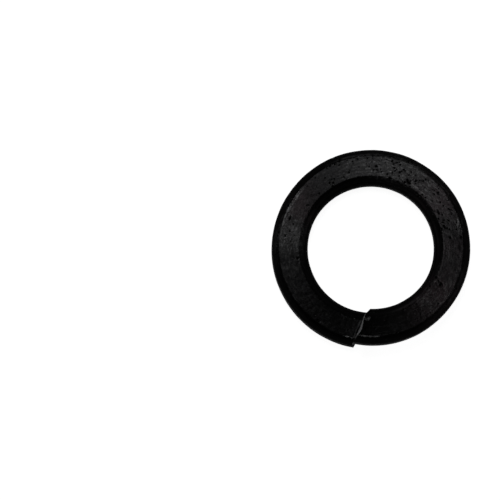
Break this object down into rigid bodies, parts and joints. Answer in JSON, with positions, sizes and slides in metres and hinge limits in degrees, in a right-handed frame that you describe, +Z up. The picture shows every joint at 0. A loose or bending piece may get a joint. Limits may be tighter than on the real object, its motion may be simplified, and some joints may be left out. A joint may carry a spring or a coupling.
{
  "type": "spring lock washer",
  "caption": "Blackened split spring lock washer: one turn of flat wire coiled on edge, cut at a slant so that its two ends stand apart in height.",
  "frame": {"origin": "on the ground, under the middle of the washer as it lies free", "axes": "+Z up; the split faces -Y, with the low end on its -X side and the high end on its +X side; the coil's own axis, which is the bolt's, leans off +Z by 3.3 degrees towards +X and 6.2 degrees towards +Y"},
  "size_m": [0.0388, 0.0388, 0.0124],
  "materials": {
    "blackened_steel": "matt black oxide on spring steel, finely pitted, with faint brown tints and bare steel worn through at the split's edges"
  },
  "bodies": {
    "root": {"spring_washer": "blackened_steel"}
  },
  "joints": []
}
